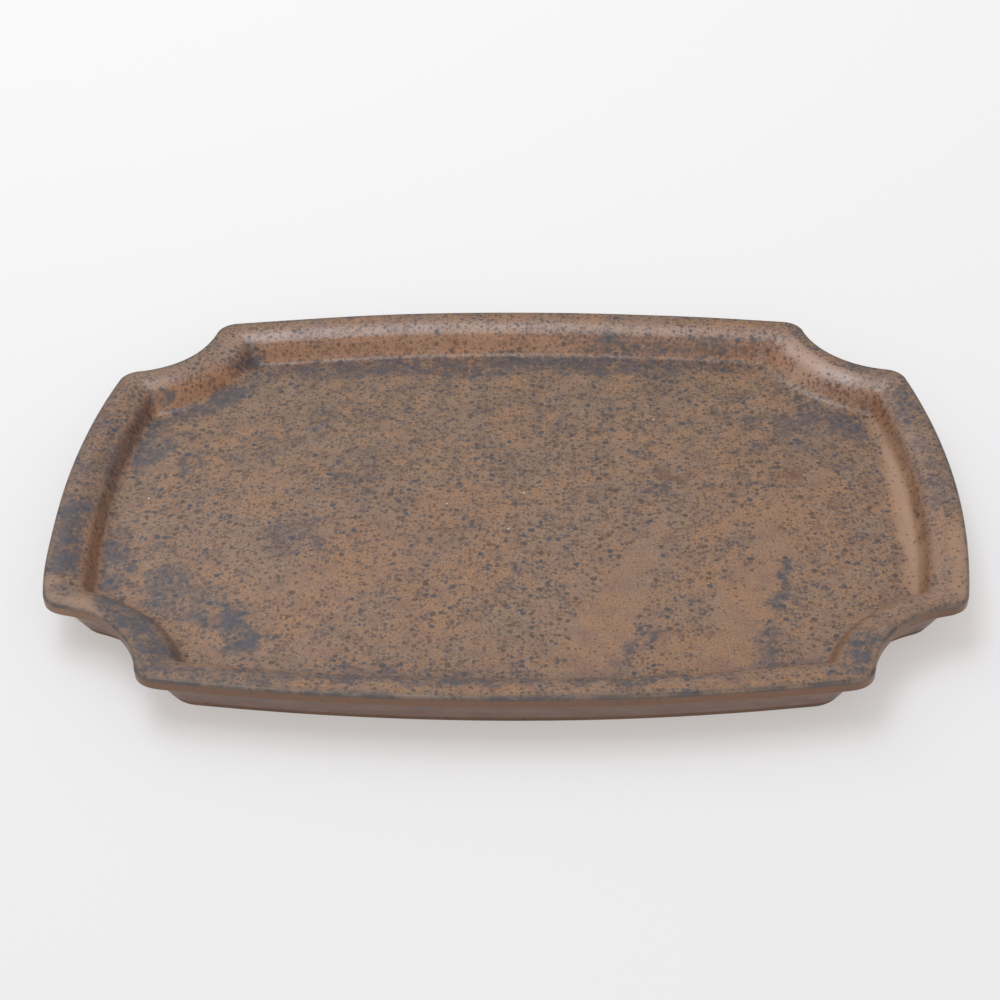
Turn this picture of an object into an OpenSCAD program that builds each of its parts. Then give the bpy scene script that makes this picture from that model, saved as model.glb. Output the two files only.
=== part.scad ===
// Shallow stoneware tray that a bonsai pot stands in: a rectangle with bowed sides and a
// scallop cut out of each corner, a rolled rim that stands out as a lip, a wall that tapers
// in to a low foot, and a flat floor. The nodes are the clay members that are luted together
// before firing. Origin: middle of the foot's contact plane. +X along the length, +Z up.

/* [Plan] */
// Overall length
tray_length = 200; // [190:1:215]
// Overall width
tray_width = 140; // [132:1:150]
// Rise of each long side over the chord between its cusps
long_bow = 5.5; // [3:0.1:8]
// Rise of each short side over the chord between its cusps
short_bow = 5; // [3:0.1:7]
// Distance of the cusps from the middle of a long side
long_cusp = 73; // [70:0.5:76]
// Distance of the cusps from the middle of a short side
short_cusp = 43; // [41:0.5:45]
// Depth of each corner scallop, measured from the chord between its cusps
scallop_depth = 6; // [4.5:0.1:7]
// Rounding of the cusps on the lip
lip_cusp_r = 5; // [3:0.1:6]
// Rounding of the cusps where the foot meets the table
foot_cusp_r = 7; // [6.5:0.1:9]

/* [Heights] */
// Overall height
tray_height = 13; // [12:0.1:16]
// Height of the lip's vertical outer face, with its rounded top edge
lip_height = 3; // [2:0.1:4]
// Height of the floor's upper face
floor_height = 6.2; // [5.5:0.1:7]
// Height of the hollow under the floor
foot_height = 2.2; // [1:0.1:3]

/* [Section] */
// Width of the rim's sloping top
rim_width = 8.2; // [7.5:0.1:9]
// Drop of the rim's top from the crest to its inner edge
rim_drop = 2; // [1:0.1:2.5]
// Step in from the lip's face to the top of the wall
lip_overhang = 1.2; // [0.6:0.1:2]
// Inset of the foot's outer edge at the table, from the lip's face
foot_inset = 6.5; // [5:0.1:7]
// Width of the foot's contact face
foot_width = 4.5; // [3:0.1:5]
// Angle of the steep inner face above the floor
inner_angle = 68; // [62:1:75]
// Radius of the cove between the inner face and the floor
cove_r = 1.8; // [1:0.1:2.5]

/* [Hidden] */

$fa = 1;
$fs = 0.4;

glaze_brown = "#88715f";
rim_brown = "#997f72";
bare_clay = "#8f6a52";

// Which side of the line between two centres a point lies on
LEFT = 1;
RIGHT = -1;
// Whether the tray lies inside an arc of its outline or outside it
CONVEX = 1;
CONCAVE = -1;

half_length = tray_length / 2;
half_width = tray_width / 2;

// A plan arc that rises by rise over a chord has this radius
function arc_radius(half_chord, rise) = (half_chord ^ 2 + rise ^ 2) / (2 * rise);

// The point at distance r1 from c1 and r2 from c2, on one side of the line from c1 to c2
function meet(c1, r1, c2, r2, side) =
    let (
        gap = norm(c2 - c1),
        along = (c2 - c1) / gap,
        reach = (r1 ^ 2 - r2 ^ 2 + gap ^ 2) / (2 * gap),
        off = sqrt(r1 ^ 2 - reach ^ 2)
    )
    c1 + reach * along + side * off * [-along.y, along.x];

// The direction from one plan point to another, in degrees from +X
function heading(from, to) = atan2(to.y - from.y, to.x - from.x);

// The three arcs of the back right quarter: back side, scallop and right side
back_tip = [long_cusp, half_width - long_bow];
right_tip = [half_length - short_bow, short_cusp];
back_r = arc_radius(long_cusp, long_bow);
right_r = arc_radius(short_cusp, short_bow);
scallop_r = arc_radius(norm(back_tip - right_tip) / 2, scallop_depth);
back_centre = [0, half_width - back_r];
right_centre = [half_length - right_r, 0];
scallop_out = [back_tip.y - right_tip.y, right_tip.x - back_tip.x] / norm(back_tip - right_tip);
scallop_centre = (back_tip + right_tip) / 2 + (scallop_r - scallop_depth) * scallop_out;

// Centres of the small arcs that round the two tips, for a radius measured at the lip's face
function back_tip_centre(r) = meet(back_centre, back_r - r, scallop_centre, scallop_r + r, LEFT);
function right_tip_centre(r) = meet(right_centre, right_r - r, scallop_centre, scallop_r + r, RIGHT);

// The walls, the foot and the floor share one tip rounding, which shrinks inwards as they do
wall_tip_r = foot_cusp_r + foot_inset;

// The lip's lower edge, and the bevel on its upper one
lip_bottom = tray_height - lip_height;
lip_bevel = 0.5;
// The wall's outer face leans in, from under the lip to the foot
taper = (foot_inset - lip_overhang) / lip_bottom;
wall_foot_inset = foot_inset - taper * foot_height;
// The cove between the inner face and the floor, drawn with a point for each step of its slope
cove_top = floor_height + cove_r * (1 - cos(inner_angle));
cove_start = rim_width + (lip_bottom - cove_top) / tan(inner_angle);
cove_end = cove_start + cove_r * sin(inner_angle);
cove_step = inner_angle / 4;
// The slab meets the walls just beyond the cove, so that nothing overhangs its upper face
wall_toe = 0.2;
slab_inset = cove_end + wall_toe;
// The foot's inner face leans in by this much of its height
foot_flare = 0.4;

// The rim's tips are rounded by lip_cusp_r at its face and as the walls are at its inner edge
function rim_tip_r(share) = lip_cusp_r + share * (wall_tip_r - lip_cusp_r);

// Sections as points of inset from the lip's face, height, and the tips' radius at the lip's face.
// Each starts at a corner from which all its other points can be seen, so that a fan of
// triangles from there closes the ends of a loft.
rim_section = [
    [rim_width, lip_bottom, wall_tip_r],
    [0, lip_bottom, lip_cusp_r],
    [0, tray_height - lip_bevel, lip_cusp_r],
    [lip_bevel, tray_height, lip_cusp_r],
    [rim_width * 0.5, tray_height - rim_drop * 0.2, rim_tip_r(0.5)],
    [rim_width * 0.75, tray_height - rim_drop * 0.5, rim_tip_r(0.75)],
    [rim_width * 0.93, tray_height - rim_drop, rim_tip_r(0.93)],
];

wall_section = concat(
    [
        [wall_foot_inset, foot_height, wall_tip_r],
        [lip_overhang, lip_bottom, wall_tip_r],
        [rim_width, lip_bottom, wall_tip_r],
    ],
    [for (slope = [inner_angle:-cove_step:0]) cove_point(slope)],
    [
        [slab_inset, floor_height, wall_tip_r],
        [slab_inset, foot_height, wall_tip_r],
    ]
);

foot_section = [
    [wall_foot_inset, foot_height, wall_tip_r],
    [foot_inset, 0, wall_tip_r],
    [foot_inset + foot_width, 0, wall_tip_r],
    [foot_inset + foot_width + foot_flare * foot_height, foot_height, wall_tip_r],
];

// A point on the cove where its surface has the given slope
function cove_point(slope) = [
    cove_start + cove_r * (sin(inner_angle) - sin(slope)),
    floor_height + cove_r * (1 - cos(slope)),
    wall_tip_r,
];

// The outline, clockwise from the middle of the back, as stations: an arc's centre, its radius
// at the lip's face, whether it is convex, and a heading from the centre. Each arc leaves out
// its first station, which ends the arc before it. Each kind of arc has its own number of steps.
tip_steps = 10;
scallop_steps = 16;
bow_steps = 12;

function along_arc(centre, r, sense, from, to, steps) =
    [for (i = [1:steps]) [centre, r, sense, from + (to - from) * i / steps]];

function quarter_outline(tip_r) =
    let (
        back_c = back_tip_centre(tip_r),
        right_c = right_tip_centre(tip_r),
        back_end = heading(back_centre, back_c),
        right_end = heading(right_centre, right_c),
        to_scallop = [heading(back_c, scallop_centre), heading(right_c, scallop_centre)]
    )
    concat(
        along_arc(back_centre, back_r, CONVEX, 90, back_end, bow_steps),
        along_arc(back_c, tip_r, CONVEX, back_end, to_scallop[0], tip_steps),
        along_arc(scallop_centre, scallop_r, CONCAVE, to_scallop[0] + 180, to_scallop[1] + 180, scallop_steps),
        along_arc(right_c, tip_r, CONVEX, to_scallop[1], right_end, tip_steps),
        along_arc(right_centre, right_r, CONVEX, right_end, 0, bow_steps)
    );

// The same stations reflected left to right or front to back, in the order that keeps them clockwise
function backwards(list) = [for (i = [len(list) - 1:-1:0]) list[i]];
function mirrored_x(stations) = [for (s = backwards(stations)) [[-s[0].x, s[0].y], s[1], s[2], 180 - s[3]]];
function mirrored_y(stations) = [for (s = backwards(stations)) [[s[0].x, -s[0].y], s[1], s[2], -s[3]]];
function without_first(list) = [for (i = [1:len(list) - 1]) list[i]];

function outline(tip_r) =
    let (
        back_to_right = concat([[back_centre, back_r, CONVEX, 90]], quarter_outline(tip_r)),
        right_half = concat(back_to_right, without_first(mirrored_y(back_to_right)))
    )
    concat(right_half, without_first(mirrored_x(right_half)));

// Positions in the outline's list
quarter_steps = 2 * bow_steps + 2 * tip_steps + scallop_steps;
scallop_start = bow_steps;
scallop_end = quarter_steps - bow_steps;
back_mitre = scallop_start + tip_steps / 2;
right_mitre = scallop_end - tip_steps / 2;

// Where a section's point lies at a station
function placed(station, point) =
    let (reach = station[1] - station[2] * point[0])
    [station[0].x + reach * cos(station[3]), station[0].y + reach * sin(station[3]), point[1]];

// A section lofted around the outline, from one position to another; they may run past its end
module loft(section, from, to) {
    turn = 4 * quarter_steps;
    closed = to - from == turn;
    rows = to - from + (closed ? 0 : 1);
    row = len(section);
    outlines = [for (point = section) outline(point[2])];
    points = [
        for (i = [from:from + rows - 1], j = [0:row - 1])
            placed(outlines[j][(i + turn) % turn], section[j])
    ];
    sides = [
        for (i = [0:to - from - 1], j = [0:row - 1])
            let (next = (i + 1) % rows, up = (j + 1) % row)
            [i * row + j, i * row + up, next * row + up, next * row + j]
    ];
    first_end = concat([0], [for (j = [row - 1:-1:1]) j]);
    last_end = [for (j = [0:row - 1]) (rows - 1) * row + j];
    polyhedron(points, closed ? sides : concat(sides, [first_end, last_end]));
}

// A section swept around part of one convex arc, between two headings from its centre
module sweep(centre, r, from, to, section) {
    translate(centre)
        rotate(from)
            rotate_extrude(angle = to - from)
                polygon([for (p = section) [r - p[0], p[1]]]);
}

module at_front() mirror([0, 1, 0]) children();
module at_left() mirror([1, 0, 0]) children();

// The children, drawn in the back right quarter, repeated in all four
module in_each_quarter() {
    children();
    at_front() children();
    at_left() children();
    at_front() at_left() children();
}

// A unit vector
function unit(v) = v / norm(v);

// Covers the sharp tip between the two points where a circle of radius r touches the arcs
module sharp_tip(circle_centre, r, arc_centre, tip) {
    on_arc = circle_centre + r * unit(circle_centre - arc_centre);
    on_scallop = circle_centre + r * unit(scallop_centre - circle_centre);
    beyond_tip = circle_centre + 2 * (tip - circle_centre);
    polygon([circle_centre, on_arc, beyond_tip, on_scallop]);
}

// The plan at an inset from the lip's face; tip_r is the rounding of its cusps at that inset
module plan(inset, tip_r) {
    back_c = back_tip_centre(tip_r + inset);
    right_c = right_tip_centre(tip_r + inset);
    difference() {
        intersection() {
            translate(back_centre) circle(back_r - inset);
            at_front() translate(back_centre) circle(back_r - inset);
            translate(right_centre) circle(right_r - inset);
            at_left() translate(right_centre) circle(right_r - inset);
        }
        in_each_quarter() {
            translate(scallop_centre) circle(scallop_r + inset);
            sharp_tip(back_c, tip_r, back_centre, back_tip);
            sharp_tip(right_c, tip_r, right_centre, right_tip);
        }
    }
    in_each_quarter() {
        translate(back_c) circle(tip_r);
        translate(right_c) circle(tip_r);
    }
}

module floor_slab() {
    color(glaze_brown)
        translate([0, 0, foot_height])
            linear_extrude(floor_height - foot_height)
                plan(slab_inset, wall_tip_r - slab_inset);
}

module foot_ring() color(bare_clay) loft(foot_section, 0, 4 * quarter_steps);

module wall_back() {
    end = heading(back_centre, back_tip_centre(wall_tip_r));
    color(glaze_brown) sweep(back_centre, back_r, end, 180 - end, wall_section);
}

module wall_right() {
    end = heading(right_centre, right_tip_centre(wall_tip_r));
    color(glaze_brown) sweep(right_centre, right_r, -end, end, wall_section);
}

module wall_front() at_front() wall_back();
module wall_left() at_left() wall_right();

module wall_scallop_back_right() color(glaze_brown) loft(wall_section, scallop_start, scallop_end);
module wall_scallop_back_left() at_left() wall_scallop_back_right();
module wall_scallop_front_right() at_front() wall_scallop_back_right();
module wall_scallop_front_left() at_front() wall_scallop_back_left();

module rim_back() color(rim_brown) loft(rim_section, -back_mitre, back_mitre);
module rim_right() color(rim_brown) loft(rim_section, right_mitre, 2 * quarter_steps - right_mitre);
module rim_front() at_front() rim_back();
module rim_left() at_left() rim_right();

module rim_scallop_back_right() color(rim_brown) loft(rim_section, back_mitre, right_mitre);
module rim_scallop_back_left() at_left() rim_scallop_back_right();
module rim_scallop_front_right() at_front() rim_scallop_back_right();
module rim_scallop_front_left() at_front() rim_scallop_back_left();

floor_slab();
foot_ring();
wall_front();
wall_back();
wall_left();
wall_right();
wall_scallop_front_left();
wall_scallop_front_right();
wall_scallop_back_left();
wall_scallop_back_right();
rim_front();
rim_back();
rim_left();
rim_right();
rim_scallop_front_left();
rim_scallop_front_right();
rim_scallop_back_left();
rim_scallop_back_right();
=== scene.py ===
import math
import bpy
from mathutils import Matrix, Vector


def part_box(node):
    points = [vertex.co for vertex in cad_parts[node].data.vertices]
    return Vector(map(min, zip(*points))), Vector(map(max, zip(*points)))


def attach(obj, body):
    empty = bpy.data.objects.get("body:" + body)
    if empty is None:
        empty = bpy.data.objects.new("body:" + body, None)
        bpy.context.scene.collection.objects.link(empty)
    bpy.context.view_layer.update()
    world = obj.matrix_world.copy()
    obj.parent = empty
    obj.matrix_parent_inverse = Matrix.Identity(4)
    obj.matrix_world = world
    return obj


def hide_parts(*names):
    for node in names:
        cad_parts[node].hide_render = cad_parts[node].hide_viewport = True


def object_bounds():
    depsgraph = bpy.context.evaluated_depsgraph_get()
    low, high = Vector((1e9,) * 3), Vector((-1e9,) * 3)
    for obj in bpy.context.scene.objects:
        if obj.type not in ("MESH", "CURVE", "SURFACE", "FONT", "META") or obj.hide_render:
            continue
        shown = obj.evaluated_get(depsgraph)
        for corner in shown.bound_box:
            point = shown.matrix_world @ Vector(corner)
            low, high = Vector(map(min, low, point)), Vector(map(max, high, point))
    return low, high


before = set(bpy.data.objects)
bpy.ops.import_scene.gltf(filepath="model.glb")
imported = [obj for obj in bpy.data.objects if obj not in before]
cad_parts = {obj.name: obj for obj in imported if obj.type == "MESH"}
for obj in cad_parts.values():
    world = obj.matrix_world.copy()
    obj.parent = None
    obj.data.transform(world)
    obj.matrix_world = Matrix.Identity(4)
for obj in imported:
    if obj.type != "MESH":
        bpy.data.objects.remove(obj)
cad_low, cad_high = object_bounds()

from types import SimpleNamespace

import bpy
import numpy as np
from mathutils import Matrix, Vector, noise

# Everything is in metres, in the row frame: +X along the tray, +Y to the back, +Z up.
MM = 0.001

# ---------------------------------------------------------------------------------------------
# Plan: a rectangle with bowed sides and a scallop cut out of each corner
# ---------------------------------------------------------------------------------------------
HALF_LENGTH = (cad_high.x - cad_low.x) / 2
HALF_WIDTH = (cad_high.y - cad_low.y) / 2
LONG_BOW = 5.5 * MM
SHORT_BOW = 5.0 * MM
LONG_CUSP = 73.0 * MM
SHORT_CUSP = 43.0 * MM
SCALLOP_DEPTH = 6.0 * MM
LIP_TIP_R = 5.0 * MM
WALL_TIP_R = 13.5 * MM

# Steps along a quarter of the outline, from the middle of the back to the middle of the right
BACK_STEPS = 60
TIP_STEPS = 16
SCALLOP_STEPS = 30
RIGHT_STEPS = 40
QUARTER = BACK_STEPS + 2 * TIP_STEPS + SCALLOP_STEPS + RIGHT_STEPS
TURN = 4 * QUARTER
BACK_MITRE = BACK_STEPS + TIP_STEPS // 2
RIGHT_MITRE = QUARTER - RIGHT_STEPS - TIP_STEPS // 2

# ---------------------------------------------------------------------------------------------
# Heights, from the CAD nodes
# ---------------------------------------------------------------------------------------------
TOP = cad_high.z
LIP_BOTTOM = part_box("rim_front")[0].z
FLOOR_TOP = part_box("floor_slab")[1].z
FLOOR_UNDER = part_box("floor_slab")[0].z


def arc_radius(half_chord, rise):
    return (half_chord**2 + rise**2) / (2 * rise)


def unit(v):
    return v / np.linalg.norm(v)


def meet(c1, r1, c2, r2, side):
    """The point at r1 from c1 and r2 from c2, left (side 1) or right (side -1) of the line c1 to c2."""
    gap = np.linalg.norm(c2 - c1)
    along = (c2 - c1) / gap
    reach = (r1**2 - r2**2 + gap**2) / (2 * gap)
    off = math.sqrt(r1**2 - reach**2)
    return c1 + reach * along + side * off * np.array([-along[1], along[0]])


def heading(a, b):
    return math.atan2(b[1] - a[1], b[0] - a[0])


BACK_TIP = np.array([LONG_CUSP, HALF_WIDTH - LONG_BOW])
RIGHT_TIP = np.array([HALF_LENGTH - SHORT_BOW, SHORT_CUSP])
BACK_R = arc_radius(LONG_CUSP, LONG_BOW)
RIGHT_R = arc_radius(SHORT_CUSP, SHORT_BOW)
SCALLOP_R = arc_radius(np.linalg.norm(BACK_TIP - RIGHT_TIP) / 2, SCALLOP_DEPTH)
BACK_CENTRE = np.array([0.0, HALF_WIDTH - BACK_R])
RIGHT_CENTRE = np.array([HALF_LENGTH - RIGHT_R, 0.0])
TIP_TO_TIP = BACK_TIP - RIGHT_TIP
SCALLOP_OUT = np.array([TIP_TO_TIP[1], -TIP_TO_TIP[0]]) / np.linalg.norm(TIP_TO_TIP)
SCALLOP_CENTRE = (BACK_TIP + RIGHT_TIP) / 2 + (SCALLOP_R - SCALLOP_DEPTH) * SCALLOP_OUT


def along_arc(centre, radius, start, end, steps):
    """Points along an arc, leaving out the first, which ends the arc before it."""
    turn = start + (end - start) * np.arange(1, steps + 1) / steps
    return centre + radius * np.stack([np.cos(turn), np.sin(turn)], axis=1)


def outline(inset, tip_r):
    """The tray's plan, inset from the lip's face, clockwise from the middle of the back."""
    back_c = meet(BACK_CENTRE, BACK_R - tip_r, SCALLOP_CENTRE, SCALLOP_R + tip_r, 1)
    right_c = meet(RIGHT_CENTRE, RIGHT_R - tip_r, SCALLOP_CENTRE, SCALLOP_R + tip_r, -1)
    back_end = heading(BACK_CENTRE, back_c)
    right_end = heading(RIGHT_CENTRE, right_c)
    out_b = heading(back_c, SCALLOP_CENTRE)
    out_r = heading(right_c, SCALLOP_CENTRE)
    start = np.array([[0.0, HALF_WIDTH - inset]])
    quarter = np.concatenate(
        [
            start,
            along_arc(BACK_CENTRE, BACK_R - inset, math.pi / 2, back_end, BACK_STEPS),
            along_arc(back_c, tip_r - inset, back_end, out_b, TIP_STEPS),
            along_arc(SCALLOP_CENTRE, SCALLOP_R + inset, out_b + math.pi, out_r + math.pi, SCALLOP_STEPS),
            along_arc(right_c, tip_r - inset, out_r, right_end, TIP_STEPS),
            along_arc(RIGHT_CENTRE, RIGHT_R - inset, right_end, 0.0, RIGHT_STEPS),
        ]
    )
    right_half = np.concatenate([quarter, quarter[-2::-1] * [1, -1]])
    return np.concatenate([right_half, right_half[-2:0:-1] * [-1, 1]])


# ---------------------------------------------------------------------------------------------
# Section: corners of inset, height, tip radius at the lip's face and rounding of the corner,
# from the slab's underside, over the lip and the rim, to the floor
# ---------------------------------------------------------------------------------------------
# The rim's inner side turns the tips on a tight radius, so its tip radius grows with its inset
INNER_TIP = 1.7 * MM
SEAM_INSET = 11.4 * MM
# Where the rim member meets the wall member on the steep inner side
JOINT_INSET = 8.3 * MM

UNDERSIDE = (13.1 * MM, FLOOR_UNDER, WALL_TIP_R, 0.0)
FOOT_INNER_TOP = (12.1 * MM, FLOOR_UNDER, WALL_TIP_R, 0.5 * MM)
FOOT_INNER = (11.2 * MM, 0.0, WALL_TIP_R, 0.5 * MM)
FOOT_OUTER = (6.5 * MM, 0.0, WALL_TIP_R, 0.6 * MM)
FOOT_TOP = (5.33 * MM, FLOOR_UNDER, WALL_TIP_R, 0.0)
UNDER_LIP = (1.3 * MM, LIP_BOTTOM - 0.1 * MM, WALL_TIP_R, 0.9 * MM)
LIP_LOW = (0.0, LIP_BOTTOM, LIP_TIP_R, 0.55 * MM)
CREST = (0.0, TOP, LIP_TIP_R, 0.6 * MM)
RIM_BACK = (4.4 * MM, TOP - 0.42 * MM, 8.0 * MM, 9.0 * MM)
RIM_EDGE = (7.9 * MM, TOP - 2.05 * MM, 7.9 * MM + INNER_TIP, 2.6 * MM)
COVE = (9.85 * MM, FLOOR_TOP, 9.85 * MM + INNER_TIP, 1.9 * MM)
SEAM = (SEAM_INSET, FLOOR_TOP, SEAM_INSET + INNER_TIP, 0.0)
SECTION_STEP = 0.45 * MM
ROUNDING_STEPS = 9


def corner_arc(before, corner, after):
    """Points on the arc that rounds a corner, from the side of before to the side of after."""
    here = np.array(corner[:3])
    to_before = np.array(before[:3]) - here
    to_after = np.array(after[:3]) - here
    back = unit(to_before[:2])
    on = unit(to_after[:2])
    radius = corner[3]
    half_angle = math.acos(float(back @ on)) / 2
    cut = radius / math.tan(half_angle)
    start = here + to_before * cut / np.linalg.norm(to_before[:2])
    end = here + to_after * cut / np.linalg.norm(to_after[:2])
    centre = here[:2] + unit(back + on) * radius / math.sin(half_angle)
    start_angle = heading(centre, start)
    turn = (heading(centre, end) - start_angle + math.pi) % (2 * math.pi) - math.pi
    arc = []
    for i in range(ROUNDING_STEPS + 1):
        share = i / ROUNDING_STEPS
        angle = start_angle + turn * share
        inset = centre[0] + radius * math.cos(angle)
        height = centre[1] + radius * math.sin(angle)
        arc.append(np.array([inset, height, start[2] + share * (end[2] - start[2])]))
    return arc


def rounded(corners):
    """Points of inset, height and tip radius along straight runs joined by circular arcs."""
    line = [np.array(corners[0][:3])]
    for before, corner, after in zip(corners, corners[1:], corners[2:]):
        line += corner_arc(before, corner, after) if corner[3] else [np.array(corner[:3])]
    line.append(np.array(corners[-1][:3]))
    fine = [line[0]]
    for a, b in zip(line, line[1:]):
        steps = max(1, math.ceil(math.dist(a[:2], b[:2]) / SECTION_STEP))
        fine += [a + (b - a) * i / steps for i in range(1, steps + 1)]
    return fine


def nearest_row(inset, height):
    """The row of the skin that lies closest to a place in the section."""
    place = (inset, height)
    return len(under_rows) + min(range(len(section)), key=lambda k: math.dist(section[k][:2], place))


# ---------------------------------------------------------------------------------------------
# Hand-made unevenness: the clay's slow wander, kept inside the CAD model's box
# ---------------------------------------------------------------------------------------------
WANDER = 0.22 * MM
WANDER_LENGTH = 55 * MM
FLOOR_WAVE = 0.07 * MM
FLOOR_WAVE_LENGTH = 22 * MM
# Corners that are off true: the place in the plan, and how far the clay there has moved along X
OFF_TRUE = [((-73 * MM, 62 * MM), -1.5 * MM), ((-97 * MM, -36 * MM), -0.8 * MM)]
OFF_TRUE_REACH = 14 * MM


def off_true(p):
    """How far the clay at p has moved along X with the corners near it."""
    total = 0.0
    for place, move in OFF_TRUE:
        away = math.dist(p[:2], place) / OFF_TRUE_REACH
        total += move * math.exp(-(away**2))
    return total


def wander(p):
    """Where the clay at p really is."""
    slow = noise.noise_vector(Vector(p) / WANDER_LENGTH)
    wave = noise.noise(Vector((p[0], p[1], 0.0)) / FLOOR_WAVE_LENGTH)
    above_foot = min(1.0, max(0.0, (p[2] - FLOOR_UNDER) / (FLOOR_TOP - FLOOR_UNDER)))
    return (
        p[0] + WANDER * slow.x + off_true(p),
        p[1] + WANDER * slow.y,
        p[2] + above_foot * (0.5 * WANDER * slow.z + FLOOR_WAVE * wave),
    )


def lift(ring, height):
    """A plan ring at a height, with the clay's unevenness, as an array of points."""
    return np.array([wander((x, y, height)) for x, y in ring])


# ---------------------------------------------------------------------------------------------
# The whole skin as rows of points, with smooth normals that the pieces share
# ---------------------------------------------------------------------------------------------
TOP_RINGS = 46
UNDER_RINGS = 16
MIDDLE_INSET = 70 * MM


def to_middle(ring, height, rings):
    """Rows that run from a ring in to the middle of a flat face."""
    return [lift(ring * (1 - i / rings), height) for i in range(1, rings)]


def insets_to_middle(inset, rings):
    """The insets of the rows that to_middle makes."""
    return [inset + (MIDDLE_INSET - inset) * i / rings for i in range(1, rings)]


def smooth_normals(rows):
    """Normals of the surface through the rows, which point into the clay, as the faces do."""
    across = np.gradient(rows, axis=0)
    around = np.roll(rows, -1, axis=1) - np.roll(rows, 1, axis=1)
    normal = np.cross(around, across)
    return normal / np.linalg.norm(normal, axis=2, keepdims=True)


section = rounded(
    [
        UNDERSIDE,
        FOOT_INNER_TOP,
        FOOT_INNER,
        FOOT_OUTER,
        FOOT_TOP,
        UNDER_LIP,
        LIP_LOW,
        CREST,
        RIM_BACK,
        RIM_EDGE,
        COVE,
        SEAM,
    ]
)
under_ring = outline(section[0][0], section[0][2])
floor_ring = outline(section[-1][0], section[-1][2])
under_rows = to_middle(under_ring, FLOOR_UNDER, UNDER_RINGS)[::-1]
skin_rows = [lift(outline(inset, tip), height) for inset, height, tip in section]
floor_rows = to_middle(floor_ring, FLOOR_TOP, TOP_RINGS)
rows = np.array(under_rows + skin_rows + floor_rows)
insets = (
    insets_to_middle(section[0][0], UNDER_RINGS)[::-1]
    + [point[0] for point in section]
    + insets_to_middle(section[-1][0], TOP_RINGS)
)

# Where the potter's hand left the inner wall softer: the column in the middle of the stretch, the
# columns to each side of it, and how much softer it is
SOFT_WALLS = [
    (0, BACK_MITRE, 0.25),
    (QUARTER, QUARTER - RIGHT_MITRE, 0.6),
    (3 * QUARTER, QUARTER - RIGHT_MITRE, 0.4),
    (BACK_MITRE + 14, 28, 1.0),
    (TURN - (BACK_MITRE + RIGHT_MITRE) // 2, 28, 0.55),
    (2 * QUARTER - (BACK_MITRE + RIGHT_MITRE) // 2, 28, 0.5),
    (2 * QUARTER + (BACK_MITRE + RIGHT_MITRE) // 2, 28, 0.5),
]
SOFT_SPREAD = 1.8 * MM
PROFILE_STEP = 0.1 * MM
PROFILE_END = 22 * MM


def softness():
    """How soft the inner wall is at each column, from 0 to 1."""
    column = np.arange(TURN)
    total = np.zeros(TURN)
    for middle, reach, amount in SOFT_WALLS:
        away = np.abs((column - middle + QUARTER * 2) % TURN - QUARTER * 2)
        total += amount * np.cos(np.minimum(away / reach, 1.0) * math.pi / 2) ** 2
    return total


def soft_rise(first_row):
    """How far each row from first_row to the floor's middle rises where the wall is all soft."""
    inner = section[first_row - len(under_rows) :]
    grid = np.arange(0.0, PROFILE_END, PROFILE_STEP)
    heights = np.interp(grid, [point[0] for point in inner], [point[1] for point in inner])
    weights = np.exp(-0.5 * ((grid[:, None] - grid[None, :]) / SOFT_SPREAD) ** 2)
    rise = weights @ heights / weights.sum(axis=1) - heights
    ease = np.clip((grid - UNDER_LIP[0]) / (RIM_BACK[0] - UNDER_LIP[0]), 0.0, 1.0)
    return np.interp(insets[first_row:], grid, rise * ease)


CREST_ROW = nearest_row(CREST[3], TOP)
rows[CREST_ROW:, :, 2] += np.outer(soft_rise(CREST_ROW), softness())

# The unevenness may not leave the CAD model's box
for axis in range(3):
    low, high = cad_low[axis], cad_high[axis]
    rows_low, rows_high = rows[:, :, axis].min(), rows[:, :, axis].max()
    rows[:, :, axis] = low + (rows[:, :, axis] - rows_low) * (high - low) / (rows_high - rows_low)
normals = smooth_normals(rows)

# Rows where one member of the tray ends and the next begins
UNDER_ROW = len(under_rows)
FOOT_TOP_ROW = nearest_row(FOOT_TOP[0], FOOT_TOP[1])
UNDER_LIP_ROW = nearest_row(UNDER_LIP[0], UNDER_LIP[1])
RIM_EDGE_ROW = nearest_row(JOINT_INSET, LIP_BOTTOM)
SEAM_ROW = UNDER_ROW + len(section) - 1
LAST_ROW = len(rows) - 1

# One more row inside the clay, where the slab's edge meets the walls under the seam
CLAY_ROW = LAST_ROW + 1
clay_ring = lift(outline(SEAM_INSET, SEAM_INSET + INNER_TIP), FLOOR_UNDER)
rows = np.append(rows, [clay_ring], axis=0)
insets.append(SEAM_INSET)


# ---------------------------------------------------------------------------------------------
# Pieces: each is a closed solid whose outside is its share of the skin
# ---------------------------------------------------------------------------------------------
def solid_faces(runs, columns, whole):
    """Faces of a solid as (row, column) corners, each with whether it is part of the skin.

    runs are the first and last rows of each stretch of skin, in order around the section. A
    face that joins the end of one run to the start of the next is a joint inside the clay.
    """
    faces = []
    stations = len(columns)
    steps = stations if whole else stations - 1

    def band(low_row, high_row, on_skin):
        for i in range(steps):
            here, there = columns[i], columns[(i + 1) % stations]
            corners = [(low_row, here), (low_row, there), (high_row, there), (high_row, here)]
            faces.append((corners, on_skin))

    for (first, last), (next_first, _) in zip(runs, runs[1:] + runs[:1]):
        for row in range(first, last):
            band(row, row + 1, True)
        if (last, next_first) != (LAST_ROW, 0):
            band(last, next_first, False)
    if not whole:
        loop = [row for first, last in runs for row in range(first, last + 1)]
        faces.append(([(row, columns[0]) for row in loop], False))
        faces.append(([(row, columns[-1]) for row in reversed(loop)], False))
    return faces


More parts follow.
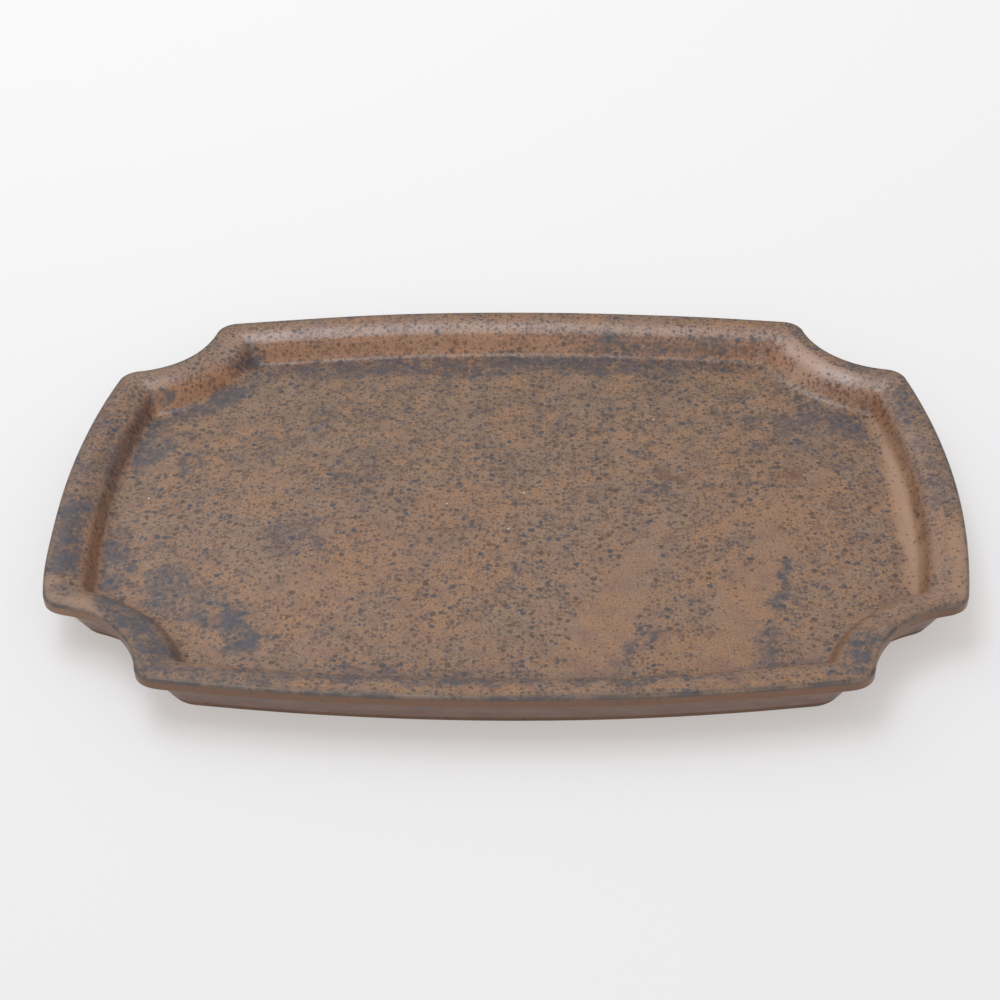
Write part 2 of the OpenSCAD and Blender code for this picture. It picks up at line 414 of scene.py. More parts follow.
def build_piece(name, runs, start, end, node):
    """A solid between two places along the outline, which stands for one CAD node."""
    whole = end - start == TURN
    columns = [i % TURN for i in range(start, end if whole else end + 1)]
    faces = solid_faces(runs, columns, whole)
    if runs[0][0] == 0 and whole:
        faces.append(([(0, column) for column in reversed(columns)], True))
        faces.append(([(LAST_ROW, column) for column in columns], True))
    number = {}
    for corners, _ in faces:
        for corner in corners:
            number.setdefault(corner, len(number))
    mesh = bpy.data.meshes.new(name)
    points = [rows[row, column].tolist() for row, column in number]
    mesh.from_pydata(points, [], [[number[corner] for corner in corners] for corners, _ in faces])
    shading = []
    for polygon, (corners, on_skin) in zip(mesh.polygons, faces):
        for row, column in corners:
            shading.append(normals[row, column].tolist() if on_skin else list(polygon.normal))
    mesh.polygons.foreach_set("use_smooth", [True] * len(mesh.polygons))
    mesh.normals_split_custom_set(shading)
    inset = mesh.attributes.new("inset", "FLOAT", "POINT")
    inset.data.foreach_set("value", [insets[row] for row, _ in number])
    piece = bpy.data.objects.new(name, mesh)
    bpy.context.scene.collection.objects.link(piece)
    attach(piece, "root")
    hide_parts(node)
    return piece


RIM_RUNS = [(UNDER_LIP_ROW, RIM_EDGE_ROW)]
WALL_RUNS = [(FOOT_TOP_ROW, UNDER_LIP_ROW), (RIM_EDGE_ROW, SEAM_ROW), (CLAY_ROW, CLAY_ROW)]
FOOT_RUNS = [(UNDER_ROW, FOOT_TOP_ROW)]
FLOOR_RUNS = [(0, UNDER_ROW), (CLAY_ROW, CLAY_ROW), (SEAM_ROW, LAST_ROW)]
MEMBERS = {
    "back": (-BACK_MITRE, BACK_MITRE),
    "scallop_back_right": (BACK_MITRE, RIGHT_MITRE),
    "right": (RIGHT_MITRE, 2 * QUARTER - RIGHT_MITRE),
    "scallop_front_right": (2 * QUARTER - RIGHT_MITRE, 2 * QUARTER - BACK_MITRE),
    "front": (2 * QUARTER - BACK_MITRE, 2 * QUARTER + BACK_MITRE),
    "scallop_front_left": (2 * QUARTER + BACK_MITRE, 2 * QUARTER + RIGHT_MITRE),
    "left": (2 * QUARTER + RIGHT_MITRE, TURN - RIGHT_MITRE),
    "scallop_back_left": (TURN - RIGHT_MITRE, TURN - BACK_MITRE),
}
glazed = []
for member, (start, end) in MEMBERS.items():
    glazed.append(build_piece("clay_rim_" + member, RIM_RUNS, start, end, "rim_" + member))
    glazed.append(build_piece("clay_wall_" + member, WALL_RUNS, start, end, "wall_" + member))
glazed.append(build_piece("clay_floor", FLOOR_RUNS, 0, TURN, "floor_slab"))
foot_piece = build_piece("clay_foot", FOOT_RUNS, 0, TURN, "foot_ring")


# ---------------------------------------------------------------------------------------------
# Materials
# ---------------------------------------------------------------------------------------------
def srgb(r, g, b):
    """A colour given in 0-255 sRGB, as linear RGBA."""
    def linear(c):
        c /= 255
        return c / 12.92 if c <= 0.04045 else ((c + 0.055) / 1.055) ** 2.4
    return (linear(r), linear(g), linear(b), 1.0)


# In mm, as the bands of the section are
WINDOW_EDGE = 0.8


class Tree:
    """Short calls for a material's nodes. Each returns the new node's output."""

    def __init__(self, name):
        self.material = bpy.data.materials.new(name)
        self.material.use_nodes = True
        self.tree = self.material.node_tree
        self.shader = self.tree.nodes["Principled BSDF"]

    def node(self, kind, inputs=None, **settings):
        made = self.tree.nodes.new(kind)
        for key, value in settings.items():
            setattr(made, key, value)
        for key, value in (inputs or {}).items():
            self.put(made.inputs[key], value)
        return made

    def put(self, socket, value):
        if isinstance(value, bpy.types.NodeSocket):
            self.tree.links.new(value, socket)
        else:
            socket.default_value = value

    def math(self, operation, a, b=0.0, clamp=False):
        made = self.node("ShaderNodeMath", {0: a, 1: b}, operation=operation, use_clamp=clamp)
        return made.outputs[0]

    def ramp(self, value, low, high, to_low=0.0, to_high=1.0):
        """value eased from to_low to to_high as it goes from low to high."""
        inputs = {"Value": value, "From Min": low, "From Max": high, "To Min": to_low, "To Max": to_high}
        made = self.node("ShaderNodeMapRange", inputs, interpolation_type="SMOOTHSTEP")
        return made.outputs["Result"]

    def mix(self, factor, a, b, blend="MIX"):
        made = self.node("ShaderNodeMix", data_type="RGBA", blend_type=blend)
        self.put(made.inputs["Factor"], factor)
        self.put(made.inputs["A"], a)
        self.put(made.inputs["B"], b)
        return made.outputs["Result"]

    def place(self):
        return self.node("ShaderNodeTexCoord").outputs["Object"]

    def noise(self, place, size, detail=2.0, roughness=0.5, distortion=0.0):
        """Noise whose blobs are about size metres wide."""
        inputs = {
            "Vector": place,
            "Scale": 1 / size,
            "Detail": detail,
            "Roughness": roughness,
            "Distortion": distortion,
        }
        return self.node("ShaderNodeTexNoise", inputs).outputs["Fac"]

    def cells(self, place, size):
        """Distance from the middle of the nearest cell, in cells, and a random value for each cell."""
        made = self.node("ShaderNodeTexVoronoi", {"Vector": place, "Scale": 1 / size})
        channels = self.node("ShaderNodeSeparateColor", {"Color": made.outputs["Color"]})
        return made.outputs["Distance"], channels.outputs["Red"]

    def dots(self, place, size, share, radius, growth=0.0):
        """Dots of random size, in this share of the cells, all of them larger by growth."""
        distance, chance = self.cells(place, size)
        reach = self.math("ADD", self.ramp(chance, 1 - share, 1.0, 0.0, radius), growth)
        return self.ramp(self.math("SUBTRACT", reach, distance), -0.02, 0.10)

    def warped(self, place, size, reach):
        """place, pushed about by up to reach metres, so that what is drawn there is ragged."""
        inputs = {"Vector": place, "Scale": 1 / size, "Detail": 3.0, "Roughness": 0.6}
        push = self.node("ShaderNodeTexNoise", inputs).outputs["Color"]
        middle = (0.5, 0.5, 0.5)
        push = self.node("ShaderNodeVectorMath", {0: push, 1: middle}, operation="SUBTRACT").outputs[0]
        scaled = {0: push, "Scale": 2 * reach}
        push = self.node("ShaderNodeVectorMath", scaled, operation="SCALE").outputs[0]
        return self.node("ShaderNodeVectorMath", {0: place, 1: push}, operation="ADD").outputs[0]

    def window(self, value, low, high):
        """1 between two values, with edges WINDOW_EDGE soft to each side."""
        above = self.ramp(value, low - WINDOW_EDGE, low + WINDOW_EDGE)
        below = self.ramp(value, high + WINDOW_EDGE, high - WINDOW_EDGE)
        return self.math("MULTIPLY", above, below)

    def most(self, masks):
        total = masks[0]
        for mask in masks[1:]:
            total = self.math("MAXIMUM", total, mask)
        return total


# Clean streaks that the glaze ran in, in mm: an end, the other end, and the half width at each
STREAKS = [
    ((35.0, -3.0), (14.5, -62.0), 1.2, 8.0),
    ((62.5, 1.0), (43.0, -62.0), 1.0, 7.5),
]
# Bands of the section that patches keep to, as insets from the lip's face in mm
LIP = (0.0, 3.6)
ROLL = (1.2, 7.0)
STEEP = (6.8, 9.8)
FOOT_OF_WALL = (9.1, 12.2)
EDGE = (10.4, 14.5)
BACK_EDGE = (10.8, 18.5)
FLOOR = (12.0, 80.0)
CORNER = (3.0, 16.0)
# Patches where the glaze pooled slate blue, in mm: band, middle, half length, half width, the
# length's angle from +X in degrees, and how strong it is
POOLS = [
    (FLOOR, (-56.0, -42.0), 12.0, 4.6, -65.0, 0.95),
    (FLOOR, (-74.0, -28.0), 8.0, 5.0, 60.0, 0.6),
    (FLOOR, (-66.0, -36.0), 14.0, 8.0, -20.0, 0.55),
    (FLOOR, (-84.0, -27.0), 6.0, 2.5, 90.0, 0.8),
    (FLOOR, (-83.0, 22.0), 8.0, 3.0, 60.0, 0.7),
    (FLOOR, (-75.0, 12.0), 5.0, 2.2, 70.0, 0.7),
    (FLOOR, (-45.0, 28.0), 5.0, 2.5, 80.0, 0.35),
    (FLOOR, (-36.0, 8.0), 8.0, 5.0, 0.0, 0.3),
    (FLOOR, (-48.0, -12.0), 9.0, 6.0, 30.0, 0.3),
    (FLOOR, (59.5, -30.0), 10.0, 2.2, 68.0, 0.8),
    (FLOOR, (52.5, -50.0), 8.0, 2.4, 65.0, 0.6),
    (FLOOR, (26.0, -49.0), 9.0, 2.4, 72.0, 0.6),
    (FLOOR, (78.0, 30.0), 12.0, 7.0, -25.0, 0.6),
    (FLOOR, (66.0, 28.0), 8.0, 7.0, 0.0, 0.4),
    (FLOOR, (35.5, 4.0), 6.0, 2.4, 80.0, 0.5),
    (FLOOR, (-5.0, 53.0), 14.0, 4.0, 0.0, 0.6),
    (BACK_EDGE, (-5.0, 57.0), 72.0, 10.0, 0.0, 0.6),
    (EDGE, (-88.0, 20.0), 14.0, 8.0, 80.0, 0.7),
    (EDGE, (-87.0, -22.0), 14.0, 8.0, 90.0, 0.7),
    (EDGE, (-72.0, 38.0), 18.0, 9.0, 50.0, 0.6),
    (EDGE, (-20.0, -58.0), 50.0, 6.0, 0.0, 0.35),
    (ROLL, (-10.0, -62.5), 62.0, 3.6, 0.0, 0.7),
    (EDGE, (60.0, -57.0), 18.0, 6.0, 0.0, 0.4),
    (STEEP, (-91.5, 14.0), 26.0, 9.0, 90.0, 0.45),
    (STEEP, (-91.0, 41.0), 7.0, 6.0, 90.0, 1.0),
    (STEEP, (-70.5, 57.0), 8.0, 7.0, 80.0, 0.75),
    (STEEP, (40.0, 61.0), 28.0, 5.0, 0.0, 0.6),
    (STEEP, (-73.5, -49.0), 18.0, 9.0, -52.0, 0.8),
    (ROLL, (-96.0, -23.0), 18.0, 9.0, 90.0, 0.9),
    (ROLL, (-95.0, 14.0), 30.0, 9.0, 90.0, 0.3),
    (ROLL, (-75.5, -50.0), 17.0, 9.0, -52.0, 1.0),
    (ROLL, (93.5, 30.0), 10.0, 6.0, 100.0, 0.5),
    (ROLL, (96.0, 2.0), 16.0, 5.0, 90.0, 0.4),
    (ROLL, (74.0, -56.0), 10.0, 8.0, 45.0, 0.9),
    (LIP, (74.0, 60.0), 8.0, 5.0, 0.0, 0.5),
    (LIP, (87.0, 47.5), 9.0, 5.0, -40.0, 0.7),
]
# Patches where the glaze ran thin and light, in the same form
THIN = [
    (FOOT_OF_WALL, (88.5, -4.0), 33.0, 9.0, 90.0, 1.0),
    (CORNER, (74.0, 52.0), 9.0, 5.0, -60.0, 0.6),
    (LIP, (97.0, -30.0), 14.0, 8.0, 90.0, 0.5),
    (LIP, (-93.0, -42.0), 12.0, 6.0, -30.0, 0.5),
]
# Rusty smudges on the floor, in the same form
SMUDGES = [(FLOOR, (38.0, 9.5), 4.5, 2.6, 0.0, 1.0), (FLOOR, (65.5, 9.0), 4.5, 2.6, 0.0, 1.0)]
# Pinholes that show the pale body, in mm
PINHOLES = [(-82.5, 1.0), (-14.0, -1.0), (34.5, 31.5), (3.5, 3.0), (0.2, -10.0)]


def streak_mask(t, x, y, start, end, start_width, end_width):
    """1 inside a band that widens from start to end."""
    length = math.dist(start, end)
    run_x, run_y = (end[0] - start[0]) / length, (end[1] - start[1]) / length
    from_x = t.math("SUBTRACT", x, start[0])
    from_y = t.math("SUBTRACT", y, start[1])
    along = t.math("ADD", t.math("MULTIPLY", from_x, run_x), t.math("MULTIPLY", from_y, run_y))
    left = t.math("SUBTRACT", t.math("MULTIPLY", from_y, run_x), t.math("MULTIPLY", from_x, run_y))
    share = t.math("DIVIDE", along, length, clamp=True)
    width = t.math("ADD", t.math("MULTIPLY", share, end_width - start_width), start_width)
    inside = t.ramp(t.math("DIVIDE", t.math("ABSOLUTE", left), width), 1.15, 0.85)
    ends = t.math("MULTIPLY", t.ramp(along, -2.0, 4.0), t.ramp(along, length + 3.0, length - 3.0))
    return t.math("MULTIPLY", inside, ends)


def patch_mask(t, x, y, inset, band, middle, half_length, half_width, turn, strength):
    """strength in the middle of an oval, within its band of the section, and 0 outside it."""
    run, rise = math.cos(math.radians(turn)), math.sin(math.radians(turn))
    from_x = t.math("SUBTRACT", x, middle[0])
    from_y = t.math("SUBTRACT", y, middle[1])
    along = t.math("ADD", t.math("MULTIPLY", from_x, run), t.math("MULTIPLY", from_y, rise))
    across = t.math("SUBTRACT", t.math("MULTIPLY", from_y, run), t.math("MULTIPLY", from_x, rise))
    u = t.math("DIVIDE", along, half_length)
    v = t.math("DIVIDE", across, half_width)
    square = t.math("ADD", t.math("MULTIPLY", u, u), t.math("MULTIPLY", v, v))
    return t.math("MULTIPLY", t.ramp(square, 1.5, 0.1, 0.0, strength), t.window(inset, *band))


# Glaze colours: the base, where it is thick or thin, the speckles and the rest
TAN = srgb(170, 130, 100)
PINK_TAN = srgb(156, 128, 108)
OLIVE = srgb(136, 122, 100)
MAUVE = srgb(134, 104, 92)
GRAIN_BROWN = srgb(110, 80, 58)
# Steep-face tints: the glaze's own tone with painted bounce light from the floor
STEEP_FRONT_GLAZE_AND_BOUNCE = srgb(136, 98, 74)
STEEP_BACK_GLAZE_AND_BOUNCE = srgb(178, 124, 86)
# Painted sheen in the back-right corner, over the glaze's pale tone
CORNER_SHEEN = srgb(170, 146, 138)
# Painted sheen on the roll, over a paler glaze there
ROLL_SHEEN = srgb(182, 154, 144)
# The lip's brown glaze with painted shade, and painted shade for the wall under the lip
LIP_BROWN_SHADED = srgb(104, 66, 36)
UNDER_LIP_SHADE = srgb(90, 50, 26)
EDGE_OLIVE = srgb(108, 98, 84)
THIN_TAN = srgb(188, 152, 126)
FLECK_BROWN = srgb(96, 74, 58)
SLATE_BLUE = srgb(52, 64, 80)
SLATE_BROWN = srgb(80, 64, 54)
STEEP_SPECKLE = srgb(90, 64, 50)
POOL_BLUE = srgb(72, 77, 90)
CREST_GREY = srgb(58, 54, 58)
RUST = srgb(112, 76, 58)
PALE_BODY = srgb(214, 206, 198)

# How far soft edges wander, in mm, and the sizes of the speckles
PLAN_WANDER = 4.5
INSET_WANDER = 0.7
LARGE_DOT = 1.9 * MM
SMALL_DOT = 0.98 * MM
PINHOLE_RADIUS = 0.34 * MM
PINHOLE_MIDDLE = 0.20 * MM

# Heights of the relief
PEEL_HEIGHT = 0.05 * MM
GRAIN_HEIGHT = 0.03 * MM
SPECKLE_DEPTH = 0.012 * MM
PINHOLE_DEPTH = 0.15 * MM


def glaze_layout(t, place):
    """Where on the tray a point of the glaze is, in mm, and how much it is part of each region."""
    parts = t.node("ShaderNodeSeparateXYZ", {0: place})
    soft = t.noise(place, 6 * MM, detail=4.0, roughness=0.6)
    other_soft = t.noise(place, 6.5 * MM, detail=4.0, roughness=0.65, distortion=0.4)
    shift_x = t.ramp(soft, 0.2, 0.8, -PLAN_WANDER, PLAN_WANDER)
    shift_y = t.ramp(other_soft, 0.2, 0.8, -PLAN_WANDER, PLAN_WANDER)
    x = t.math("ADD", t.math("DIVIDE", parts.outputs["X"], MM), shift_x)
    y = t.math("ADD", t.math("DIVIDE", parts.outputs["Y"], MM), shift_y)
    z = t.math("DIVIDE", parts.outputs["Z"], MM)
    inset = t.math("DIVIDE", t.node("ShaderNodeAttribute", attribute_name="inset").outputs["Fac"], MM)
    inset_edge = t.math("ADD", inset, t.ramp(soft, 0.25, 0.75, -INSET_WANDER, INSET_WANDER))
    on_top = t.ramp(z, 5.0, 6.0)

    pooled = t.most([patch_mask(t, x, y, inset_edge, *pool) for pool in POOLS])
    pooled = t.math("MULTIPLY", pooled, on_top)
    thin = t.most([patch_mask(t, x, y, inset_edge, *patch) for patch in THIN])
    thin = t.math("MULTIPLY", thin, on_top)
    clean = t.most([streak_mask(t, x, y, *streak) for streak in STREAKS])
    clean = t.most([t.math("MULTIPLY", clean, t.ramp(inset, 8.6, 9.4)), thin])
    steep = t.math("MULTIPLY", t.ramp(inset, 6.0, 8.6), t.ramp(inset, 10.4, 9.3))
    steep = t.math("MULTIPLY", steep, on_top)
    roll = t.math("MULTIPLY", t.ramp(inset, 2.2, 4.8), t.ramp(inset, 8.0, 6.2))
    roll = t.math("MULTIPLY", roll, on_top)
    lip_face = t.math("MULTIPLY", t.ramp(inset, 0.5, 0.1), t.ramp(z, 12.8, 12.3))
    under_lip = t.math("MULTIPLY", t.ramp(z, 9.9, 9.6), t.ramp(inset, 7.3, 6.9))
    crest = t.math("MULTIPLY", t.ramp(inset, 1.0, 0.3), t.ramp(z, 11.8, 12.4))
    return SimpleNamespace(
        parts=parts,
        soft=soft,
        cloud=t.noise(place, 4.5 * MM, detail=4.0, roughness=0.6),
        x=x,
        y=y,
        z=z,
        inset=inset,
        on_top=on_top,
        pooled=pooled,
        thin=thin,
        clean=clean,
        steep=steep,
        roll=roll,
        lip_face=lip_face,
        under_lip=under_lip,
        outside=t.most([lip_face, under_lip]),
        crest=crest,
    )


def base_colour(t, place, where, grain):
    """Warm tan that drifts in tone, greener towards the back of the floor, with a fine grain."""
    drift = t.noise(place, 12 * MM, detail=4.0, roughness=0.6)
    colour = t.mix(t.ramp(drift, 0.35, 0.65), TAN, PINK_TAN)
    olive = t.math("MULTIPLY", t.ramp(where.y, -25.0, 45.0), t.ramp(where.cloud, 0.35, 0.6))
    olive = t.math("MULTIPLY", olive, t.ramp(where.inset, 10.0, 14.0))
    colour = t.mix(t.math("MULTIPLY", olive, 0.5), colour, OLIVE)
    colour = t.mix(t.ramp(where.cloud, 0.42, 0.66, 0.0, 0.5), colour, MAUVE)
    return t.mix(t.ramp(grain, 0.42, 0.62, 0.0, 0.52), colour, GRAIN_BROWN)


def with_tints(t, where, colour):
    """Steep faces warm, partly the glaze's tone and partly painted bounce light; a painted sheen, pale
    and grey, on the roll and the back-right corner; the lip's face and the wall under it brown, with
    painted shade; an olive rim edge and thin pale glaze.
    """
    # Painted bounce light: steep faces are tinted warm, lighter and warmer towards the back, for the
    # light the floor throws on them, over the glaze's own tone
    warm = t.mix(t.ramp(where.y, 15.0, 50.0), STEEP_FRONT_GLAZE_AND_BOUNCE, STEEP_BACK_GLAZE_AND_BOUNCE)
    colour = t.mix(t.math("MULTIPLY", where.steep, 0.6), colour, warm)
    # Painted sheen: the steep band and the roll in the back-right corner are painted pale grey for the
    # light they catch there
    corner_sheen = t.math("MULTIPLY", t.ramp(where.x, 58.0, 76.0), t.ramp(where.y, 32.0, 46.0))
    corner_sheen_steep = t.math("MULTIPLY", where.steep, corner_sheen)
    colour = t.mix(t.math("MULTIPLY", corner_sheen_steep, 0.5), colour, CORNER_SHEEN)
    # Painted sheen: the roll is painted pale where the overhead light's sheen falls, most towards the
    # back and the right, over a paler glaze there
    towards_back = t.ramp(where.y, 35.0, 58.0, 0.0, 0.4)
    towards_right = t.ramp(where.x, 70.0, 95.0, 0.0, 0.15)
    pale = t.most([towards_back, towards_right, t.math("MULTIPLY", corner_sheen, 0.8)])
    colour = t.mix(t.math("MULTIPLY", where.roll, pale), colour, ROLL_SHEEN)
    # Painted shade: the lip's face is painted a darker brown than its glaze for the shade on it, and the
    # wall under the lip darker still for the shade under the lip
    colour = t.mix(t.math("MULTIPLY", where.lip_face, 0.9), colour, LIP_BROWN_SHADED)
    colour = t.mix(t.math("MULTIPLY", where.under_lip, 0.9), colour, UNDER_LIP_SHADE)
    rim_edge = t.math("MULTIPLY", t.ramp(where.inset, 2.2, 0.6, 0.0, 0.45), t.ramp(where.z, 12.0, 12.5))
    colour = t.mix(rim_edge, colour, EDGE_OLIVE)
    return t.mix(t.math("MULTIPLY", where.thin, 0.6), colour, THIN_TAN)


def with_speckles(t, place, where, colour):
    """Ragged spots that grow and run together where the glaze is thick, and the large ones' mask."""
    crowd = t.noise(place, 9 * MM, detail=4.0, roughness=0.65)
    crowding = t.ramp(crowd, 0.3, 0.7, -0.035, 0.035)
    thick = t.math("ADD", crowding, t.ramp(where.y, -40.0, 30.0, -0.015, 0.01))
    thick = t.math("ADD", thick, t.math("MULTIPLY", where.pooled, 0.11))
    thick = t.math("SUBTRACT", thick, t.math("MULTIPLY", where.clean, 0.22))
    on_walls = t.ramp(where.inset, 11.0, 8.0, 0.0, 0.05)
    sparse = t.most([on_walls, t.math("MULTIPLY", where.outside, 0.2)])
    growth = t.math("SUBTRACT", thick, sparse)
    ragged = t.warped(place, 0.8 * MM, 0.45 * MM)
    large = t.dots(ragged, LARGE_DOT, 0.6, 0.42, growth)
    small = t.dots(ragged, SMALL_DOT, 0.95, 0.58, growth)
    patch = t.math("ADD", t.noise(place, 1.15 * MM, detail=4.0, roughness=0.65), thick)
    inside = t.ramp(where.outside, 0.0, 1.0, 1.0, 0.4)
    patches = t.math("MULTIPLY", t.ramp(patch, 0.55, 0.60), inside)
    fleck = t.math("ADD", t.noise(place, 0.6 * MM, detail=2.0, roughness=0.5), thick)
    flecks = t.ramp(fleck, 0.55, 0.61)

    hue = t.noise(place, 3.5 * MM, detail=2.0)
    slate = t.mix(t.ramp(hue, 0.38, 0.58), SLATE_BLUE, SLATE_BROWN)
    dry_steep = t.math("MULTIPLY", where.steep, t.ramp(where.pooled, 0.8, 0.3))
    slate = t.mix(dry_steep, slate, STEEP_SPECKLE)
    colour = t.mix(t.math("MULTIPLY", flecks, 0.35), colour, FLECK_BROWN)
    for mask, strength in ((patches, 0.5), (small, 0.62), (large, 0.8)):
        colour = t.mix(t.math("MULTIPLY", mask, strength), colour, slate)
    return colour, large


def with_pools(t, where, colour):
    """Pools and the crest, slate between the speckles too, and the rusty smudges."""
    haze = t.math("MULTIPLY", where.pooled, t.ramp(where.cloud, 0.34, 0.62, 0.2, 0.85))
    haze = t.math("MULTIPLY", haze, t.ramp(where.outside, 0.0, 1.0, 1.0, 0.3))
    colour = t.mix(haze, colour, POOL_BLUE)
    dark_crest = t.math("MULTIPLY", where.crest, t.ramp(where.soft, 0.42, 0.6, 0.25, 0.75))
    colour = t.mix(dark_crest, colour, CREST_GREY)
    rust = t.most([patch_mask(t, where.x, where.y, where.inset, *smudge) for smudge in SMUDGES])
    return t.mix(t.math("MULTIPLY", rust, 0.6), colour, RUST)


def pinhole_mask(t, where):
    """1 in the middle of each pinhole."""
    plan = {"X": where.parts.outputs["X"], "Y": where.parts.outputs["Y"]}
    flat = t.node("ShaderNodeCombineXYZ", plan).outputs[0]
    holes = []
    for hole_x, hole_y in PINHOLES:
        middle = (hole_x * MM, hole_y * MM, 0.0)
        off = t.node("ShaderNodeVectorMath", {0: flat, 1: middle}, operation="DISTANCE").outputs["Value"]
        holes.append(t.ramp(off, PINHOLE_RADIUS, PINHOLE_MIDDLE))
    return t.math("MULTIPLY", t.most(holes), where.on_top)


def glaze_material():
    t = Tree("speckled_glaze")
    place = t.place()
    where = glaze_layout(t, place)
    grain = t.noise(place, 0.45 * MM, detail=3.0, roughness=0.7)
    colour = base_colour(t, place, where, grain)
    colour = with_tints(t, where, colour)
    colour, large = with_speckles(t, place, where, colour)
    colour = with_pools(t, where, colour)
    hole = pinhole_mask(t, where)
    t.put(t.shader.inputs["Base Color"], t.mix(hole, colour, PALE_BODY))

    # Satin: glossier on the roll, and a little duller where the speckles break the surface
    rough = t.ramp(where.cloud, 0.3, 0.7, 0.34, 0.44)
    rough = t.math("SUBTRACT", rough, t.math("MULTIPLY", where.roll, 0.10))
    rough = t.math("ADD", rough, t.math("MULTIPLY", large, 0.06))
    t.put(t.shader.inputs["Roughness"], rough)
    t.shader.inputs["IOR"].default_value = 1.6

    # Relief: orange peel, grain, speckles and pinholes
    peel = t.noise(place, 1.6 * MM, detail=3.0)
    relief = t.math("ADD", t.math("MULTIPLY", peel, PEEL_HEIGHT), t.math("MULTIPLY", grain, GRAIN_HEIGHT))
    relief = t.math("SUBTRACT", relief, t.math("MULTIPLY", large, SPECKLE_DEPTH))
    relief = t.math("SUBTRACT", relief, t.math("MULTIPLY", hole, PINHOLE_DEPTH))
    bump = t.node("ShaderNodeBump", {"Height": relief, "Strength": 1.0, "Distance": 1.0})
    t.put(t.shader.inputs["Normal"], bump.outputs[0])
    return t.material


CLAY_LIGHT = srgb(106, 78, 58)
CLAY_DARK = srgb(92, 68, 52)
CLAY_GRAIN = srgb(128, 98, 76)
CLAY_GRIT = srgb(62, 48, 42)
CLAY_GRAIN_HEIGHT = 0.09 * MM
CLAY_GRIT_HEIGHT = 0.05 * MM


def bare_clay_material():
    t = Tree("bare_clay")
    place = t.place()
    drift = t.noise(place, 18 * MM, detail=3.0)
    grain = t.noise(place, 0.5 * MM, detail=4.0, roughness=0.7)
    grit = t.dots(place, 1.4 * MM, 0.3, 0.3)
    colour = t.mix(t.ramp(drift, 0.3, 0.7), CLAY_LIGHT, CLAY_DARK)
    colour = t.mix(t.ramp(grain, 0.4, 0.65, 0.0, 0.5), colour, CLAY_GRAIN)
    colour = t.mix(grit, colour, CLAY_GRIT)
    t.put(t.shader.inputs["Base Color"], colour)
    t.put(t.shader.inputs["Roughness"], t.ramp(grain, 0.3, 0.7, 0.78, 0.94))
    grain_height = t.math("MULTIPLY", grain, CLAY_GRAIN_HEIGHT)
    relief = t.math("ADD", grain_height, t.math("MULTIPLY", grit, CLAY_GRIT_HEIGHT))
    bump = t.node("ShaderNodeBump", {"Height": relief, "Strength": 1.0, "Distance": 1.0})
    t.put(t.shader.inputs["Normal"], bump.outputs[0])
    return t.material


glaze = glaze_material()
clay = bare_clay_material()
for piece in glazed:
    piece.data.materials.append(glaze)
foot_piece.data.materials.append(clay)


# ---------------------------------------------------------------------------------------------
# Stage, light and camera
# ---------------------------------------------------------------------------------------------
STAGE_SIZE = 6.0
# The stage is a hair below the foot, so that their faces never coincide
STAGE_GAP = 0.02 * MM
# The paper is painted lighter towards the back, standing in for light that is brighter there
PAPER_NEAR = srgb(195, 197, 201)
PAPER_FAR = srgb(220, 222, 225)
# A slight glow, which lifts the shadows on the paper
PAPER_GLOW = 0.335
PAPER_GLOW_COLOUR = (1.0, 0.96, 0.925, 1.0)
WORLD_COLOUR = (1.0, 0.95, 0.91, 1.0)
WORLD_STRENGTH = 0.52
WHITE = (1, 1, 1)
# Area lights aimed at the tray: name, place, size, power in watts and colour
LIGHTS = [
    ("softbox", (-0.25, 0.08, 1.0), (0.8, 0.45), 3.4, (0.94, 1.0, 1.06)),
    ("window", (-0.5, 0.6, 0.8), (0.5, 0.5), 0.8, WHITE),
    ("fill", (0.1, -1.1, 0.6), (1.4, 0.7), 3.5, WHITE),
]


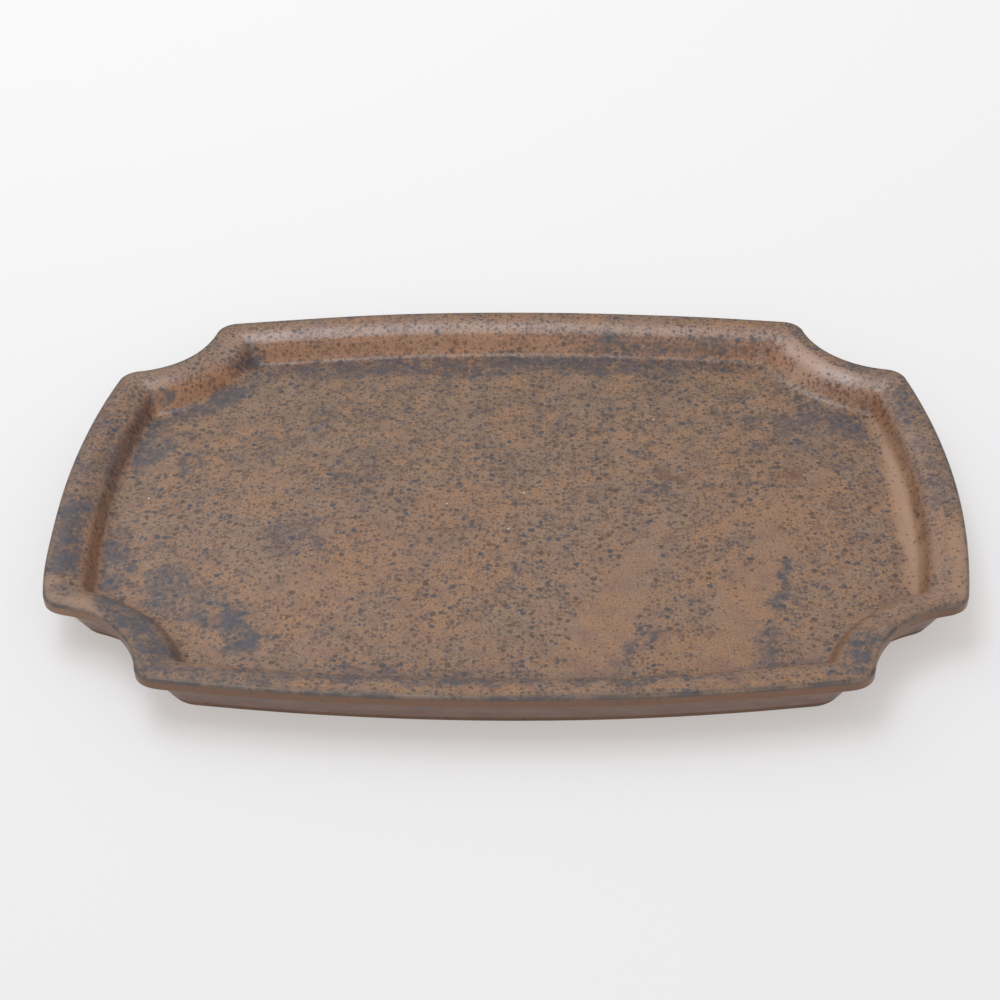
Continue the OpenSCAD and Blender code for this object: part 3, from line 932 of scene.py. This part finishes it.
def stage():
    bpy.ops.mesh.primitive_plane_add(size=STAGE_SIZE, location=(0.0, 0.0, -STAGE_GAP))
    floor = bpy.context.object
    floor.name = "stage_floor"
    t = Tree("paper")
    parts = t.node("ShaderNodeSeparateXYZ", {0: t.place()})
    # Painted light: the paper goes lighter towards the back
    back = t.ramp(parts.outputs["Y"], -0.3, 0.5)
    t.put(t.shader.inputs["Base Color"], t.mix(back, PAPER_NEAR, PAPER_FAR))
    t.shader.inputs["Roughness"].default_value = 0.9
    t.shader.inputs["Emission Color"].default_value = PAPER_GLOW_COLOUR
    t.shader.inputs["Emission Strength"].default_value = PAPER_GLOW
    floor.data.materials.append(t.material)


def area_light(name, place, size, power, colour):
    light = bpy.data.lights.new(name, "AREA")
    light.shape = "RECTANGLE"
    light.size, light.size_y = size
    light.energy = power
    light.color = colour
    made = bpy.data.objects.new(name, light)
    made.location = place
    made.rotation_euler = (-Vector(place)).to_track_quat("-Z", "Y").to_euler()
    bpy.context.scene.collection.objects.link(made)


def surroundings():
    world = bpy.data.worlds.new("studio")
    world.use_nodes = True
    background = world.node_tree.nodes["Background"]
    background.inputs["Color"].default_value = WORLD_COLOUR
    background.inputs["Strength"].default_value = WORLD_STRENGTH
    bpy.context.scene.world = world


# The camera looks down at the tray from in front of it, turned and rolled a little
ELEVATION = math.radians(38.32)
YAW = math.radians(-1.87)
CAMERA_ROLL = math.radians(-1.19)
DISTANCE = 379 * MM
TARGET = Vector((-1.6 * MM, -8.3 * MM, TOP))
FOCAL_LENGTH = 61.6
SENSOR = 36.0


def add_camera():
    camera = bpy.data.cameras.new("camera")
    camera.lens = FOCAL_LENGTH
    camera.sensor_width = SENSOR
    camera.clip_start = 0.01
    made = bpy.data.objects.new("camera", camera)
    ahead = Vector(
        (
            math.sin(YAW) * math.cos(ELEVATION),
            math.cos(YAW) * math.cos(ELEVATION),
            -math.sin(ELEVATION),
        )
    )
    level = Vector((math.cos(YAW), -math.sin(YAW), 0.0))
    up = level.cross(ahead)
    right = level * math.cos(CAMERA_ROLL) + up * math.sin(CAMERA_ROLL)
    top = up * math.cos(CAMERA_ROLL) - level * math.sin(CAMERA_ROLL)
    turn = Matrix((right, top, -ahead)).transposed().to_4x4()
    made.matrix_world = Matrix.Translation(TARGET - ahead * DISTANCE) @ turn
    bpy.context.scene.collection.objects.link(made)
    bpy.context.scene.camera = made


stage()
surroundings()
for light_values in LIGHTS:
    area_light(*light_values)
add_camera()
bpy.context.scene.view_settings.view_transform = "Standard"
